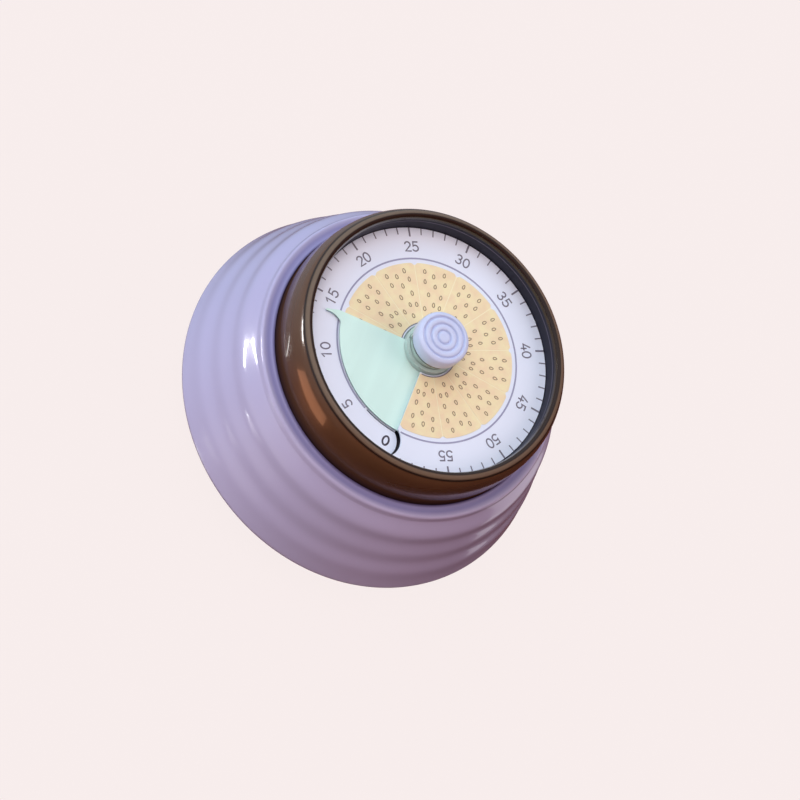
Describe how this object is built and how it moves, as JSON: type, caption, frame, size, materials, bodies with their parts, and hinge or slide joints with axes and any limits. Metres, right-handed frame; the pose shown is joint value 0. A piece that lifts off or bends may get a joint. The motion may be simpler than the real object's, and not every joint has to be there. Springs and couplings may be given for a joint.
{
  "type": "kitchen timer",
  "caption": "Round wind-up kitchen timer with a ribbed pot-shaped casing, screwed-in bezel, numbered 60-minute dial, coloured sector disc and centre knob.",
  "frame": {"origin": "centre of the back, on the plane of the rubber foot ring that the timer rests on", "axes": "+Z out of the back towards the knob, +Y towards the 0 mark of the dial, +X towards the 15 minute mark"},
  "size_m": [0.0842, 0.0842, 0.0461],
  "materials": {
    "lavender_plastic": "gloss",
    "brown_plastic": "gloss",
    "dial_plastic": "satin, printed with dark grey numbers and ticks",
    "mint_plastic": "satin",
    "mint_stem": "gloss",
    "white_plastic": "moulded",
    "rubber_foot": "matt",
    "nickel": "nickel plated",
    "steel": "turned",
    "spring_steel": "blued",
    "brass": "brushed"
  },
  "bodies": {
    "case": {"body_shell": "lavender_plastic", "back_cover": "lavender_plastic", "foot_ring": "rubber_foot", "magnets": "nickel", "cover_screws": "steel", "bezel": "brown_plastic", "dial_carrier": "white_plastic", "movement_screws": "steel", "dial_plate": "dial_plastic", "front_plate": "brass", "back_plate": "brass", "plate_pillars": "steel", "pillar_nuts": "brass", "mainspring": "spring_steel", "trip_stud": "steel", "bell": "nickel", "bell_post": "steel", "bell_screw": "steel", "hammer_stud": "steel", "hammer_spring": "spring_steel"},
    "knob": {"knob_cap": "lavender_plastic", "knob_sleeve": "mint_stem", "arbor": "steel", "ratchet_wheel": "steel", "alarm_cam": "brass"},
    "disc": {"sector_disc": "mint_plastic"},
    "main_drive": {"main_wheel": "brass", "click_spring": "spring_steel"},
    "click": {"click_pawl": "steel"},
    "second_train": {"second_arbor": "steel", "second_wheel": "brass"},
    "third_train": {"third_arbor": "steel", "third_wheel": "brass"},
    "escape_train": {"escape_arbor": "steel", "escape_wheel": "brass"},
    "pallet": {"pallet_lever": "steel"},
    "trip": {"trip_lever": "steel"},
    "hammer_arm": {"hammer": "steel"}
  },
  "joints": [
    {"name": "timer_turn", "type": "hinge", "parent": "case", "child": "knob", "pos_m": [0, 0, 0.03], "axis": [0, 0, -1], "range_deg": [-84, 270]},
    {"name": "disc_rise", "type": "slide", "parent": "knob", "child": "disc", "axis": [0, 0, 1], "range_m": [-0.0003, 0.00098]},
    {"name": "main_turn", "type": "hinge", "parent": "case", "child": "main_drive", "pos_m": [0, 0, 0.0156], "axis": [0, 0, -1], "range_deg": [-84.5, 270.5]},
    {"name": "second_turn", "type": "hinge", "parent": "case", "child": "second_train", "pos_m": [0.014, 0, 0.02], "axis": [0, 0, -1], "range_deg": [-1623, 507]},
    {"name": "third_turn", "type": "hinge", "parent": "case", "child": "third_train", "pos_m": [0.01322, 0.00897, 0.02], "axis": [0, 0, -1], "range_deg": [-2028, 6492]},
    {"name": "escape_turn", "type": "hinge", "parent": "case", "child": "escape_train", "pos_m": [0.00603, 0.01247, 0.02], "axis": [0, 0, -1], "range_deg": [-25968, 8112]},
    {"name": "click_lift", "type": "hinge", "parent": "main_drive", "child": "click", "pos_m": [-0.00808, -0.00294, 0.017], "axis": [0, 0, -1], "range_deg": [0, 8], "stiffness_Nm_per_rad": 0.0002},
    {"name": "pallet_rock", "type": "hinge", "parent": "case", "child": "pallet", "pos_m": [-0.00049, 0.01351, 0.02], "axis": [0, 0, 1], "range_deg": [-5, 5]},
    {"name": "trip_lift", "type": "hinge", "parent": "case", "child": "trip", "pos_m": [-0.009, 0.0095, 0.027], "axis": [0, 0, -1], "range_deg": [0, 6], "stiffness_Nm_per_rad": 0.0002},
    {"name": "hammer_swing", "type": "hinge", "parent": "case", "child": "hammer_arm", "pos_m": [-0.004, -0.008, 0.009], "axis": [0, 0, 1], "range_deg": [-5.2, 10], "stiffness_Nm_per_rad": 0.0005}
  ],
  "couplings": [
    {"joint": "disc_rise", "follows": "timer_turn", "m_per_rad": 0.0002069},
    {"joint": "main_turn", "follows": "timer_turn", "ratio": 1},
    {"joint": "second_turn", "follows": "timer_turn", "ratio": -6},
    {"joint": "third_turn", "follows": "timer_turn", "ratio": 24},
    {"joint": "escape_turn", "follows": "timer_turn", "ratio": -96}
  ]
}
